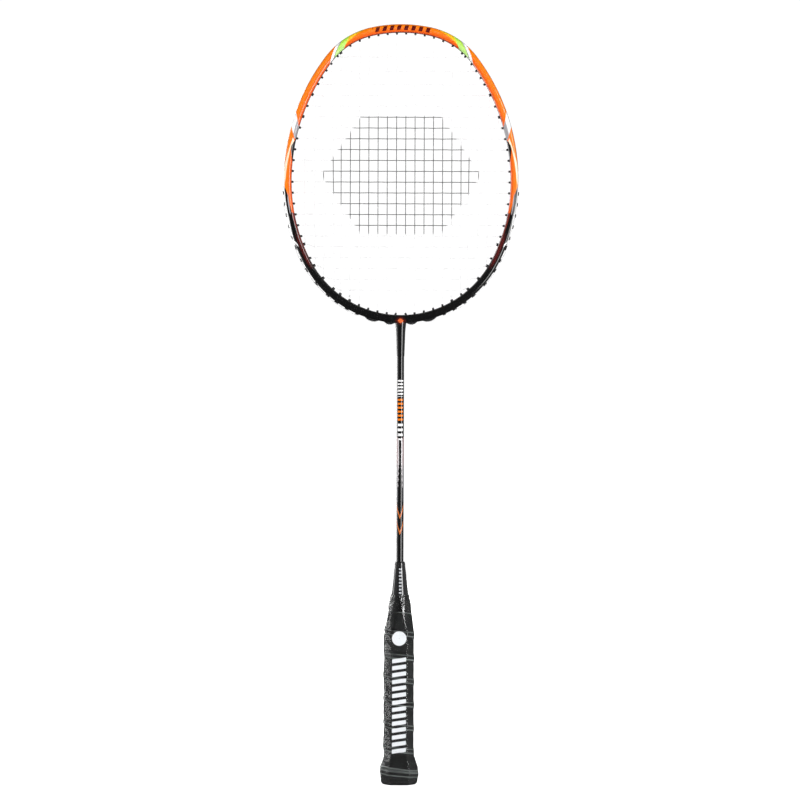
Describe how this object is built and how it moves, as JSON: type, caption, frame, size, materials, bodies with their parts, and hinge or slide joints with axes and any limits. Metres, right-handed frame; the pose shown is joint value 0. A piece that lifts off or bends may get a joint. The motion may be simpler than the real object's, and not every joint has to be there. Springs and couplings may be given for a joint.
{
  "type": "badminton racket",
  "caption": "Strung badminton racket: oval hoop with a woven string bed, slim shaft, tapered cone and a wrapped eight-sided grip with a flared butt.",
  "frame": {"origin": "centre of the butt's flat end", "axes": "+Z along the shaft from the butt to the crown, +Y square to the string bed, +X across the head"},
  "size_m": [0.2112, 0.0302, 0.675],
  "materials": {
    "carbon": "orange, yellow and black gloss lacquer over carbon fibre",
    "shaft": "black gloss lacquer over carbon fibre with pale bands",
    "core_resin": "moulded carbon-filled resin",
    "cone_plastic": "moulded black, polished",
    "cap_plastic": "moulded black, fine texture",
    "badge": "blank silver-grey disc",
    "wood": "sanded basswood",
    "grip_tape": "black polyurethane grip tape",
    "clear_film": "clear shrink film",
    "steel": "bright steel wire",
    "string": "white braided nylon string",
    "grommet_nylon": "black nylon"
  },
  "bodies": {
    "root": {"frame_hoop": "carbon", "t_joint_core": "core_resin", "shaft": "shaft", "cone_cap": "cone_plastic", "handle_core": "wood", "butt_cap": "cap_plastic", "butt_badge": "badge", "grip_tape": "grip_tape", "grip_staple": "steel", "grip_film": "clear_film", "main_string": "string", "cross_string": "string", "crown_grommets": "grommet_nylon", "shoulder_grommets_left": "grommet_nylon", "shoulder_grommets_right": "grommet_nylon", "upper_side_grommets_left": "grommet_nylon", "upper_side_grommets_right": "grommet_nylon", "lower_side_grommets_left": "grommet_nylon", "lower_side_grommets_right": "grommet_nylon", "corner_grommets_left": "grommet_nylon", "corner_grommets_right": "grommet_nylon", "tie_off_grommets": "grommet_nylon", "lower_grommets": "grommet_nylon", "inner_throat_pad_left": "grommet_nylon", "inner_throat_pad_right": "grommet_nylon", "outer_throat_pad_left": "grommet_nylon", "outer_throat_pad_right": "grommet_nylon"}
  },
  "joints": []
}
